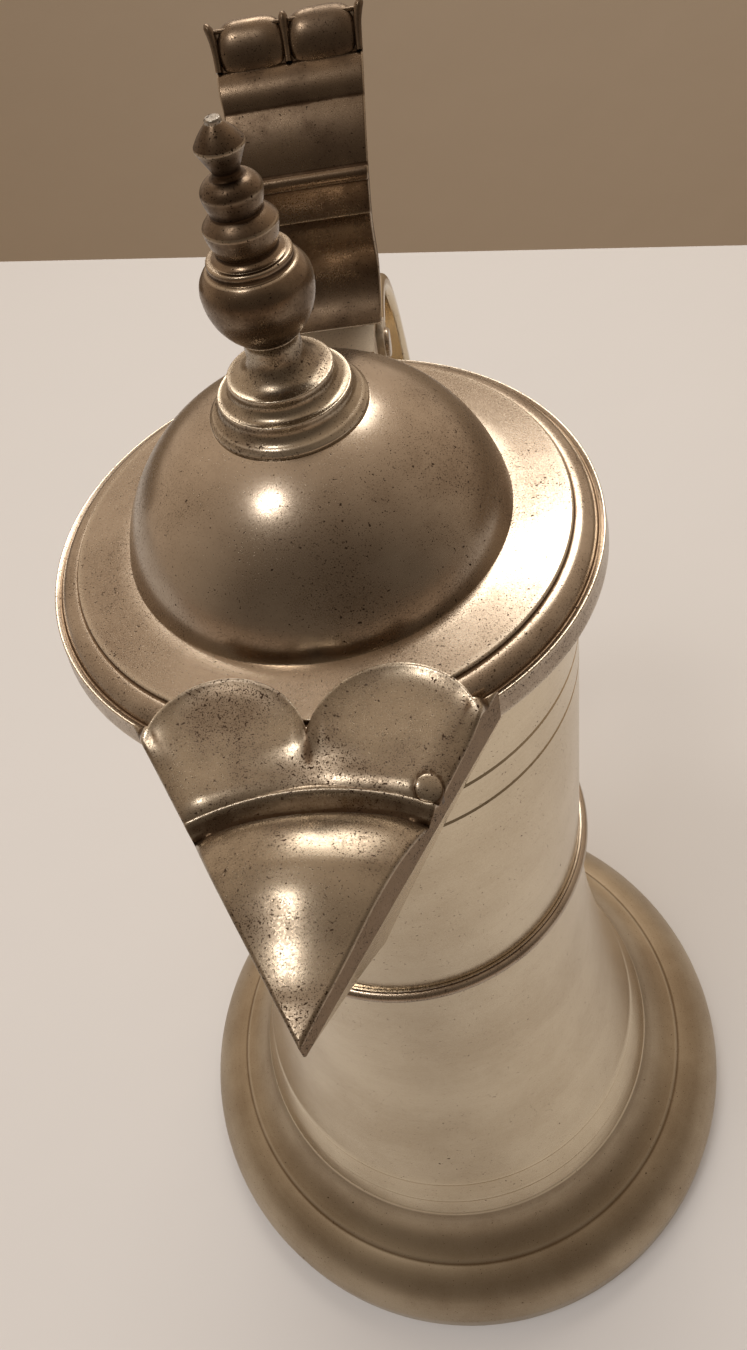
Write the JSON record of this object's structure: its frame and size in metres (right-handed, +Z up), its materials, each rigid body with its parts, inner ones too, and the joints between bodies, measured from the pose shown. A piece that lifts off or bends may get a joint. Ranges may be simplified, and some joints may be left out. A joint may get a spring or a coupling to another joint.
{
  "type": "pewter jug",
  "caption": "Tall pewter jug with a flared foot, beaked spout, strap handle and a domed, hinged lid with a turned finial and a thumbpiece.",
  "frame": {"origin": "on the jug's axis, in the plane of the table", "axes": "+Z up along the jug's axis, -Y towards the beak, +Y towards the handle"},
  "size_m": [0.175, 0.2026, 0.3303],
  "materials": {
    "turned_pewter": "lathe-turned pewter, polished by use, satin gloss",
    "cast_pewter": "cast pewter, old brown patina with pits, satin gloss",
    "iron": "dark drawn iron"
  },
  "bodies": {
    "jug": {"foot_ring": "turned_pewter", "base_plate": "turned_pewter", "base_plug": "turned_pewter", "lower_body": "turned_pewter", "waist_ring": "turned_pewter", "neck": "turned_pewter", "rim_ring": "turned_pewter", "spout": "turned_pewter", "handle_bracket": "turned_pewter", "handle_strap": "turned_pewter", "handle_foot": "turned_pewter", "hinge_pin": "iron", "pin_caps": "turned_pewter"},
    "lid": {"lid_flange": "turned_pewter", "lid_dome": "turned_pewter", "lid_bezel": "turned_pewter", "beak_cover": "cast_pewter", "cover_plug": "cast_pewter", "finial_base": "cast_pewter", "finial_knop": "cast_pewter", "finial_spindle": "cast_pewter", "finial_rod": "iron", "finial_washer": "iron", "finial_nut": "iron", "lid_knuckle": "turned_pewter", "thumbpiece": "cast_pewter"}
  },
  "joints": [
    {"name": "lid_hinge", "type": "hinge", "parent": "jug", "child": "lid", "pos_m": [0, 0.0565, 0.2573], "axis": [-1, 0, 0], "range_deg": [0, 72]}
  ]
}
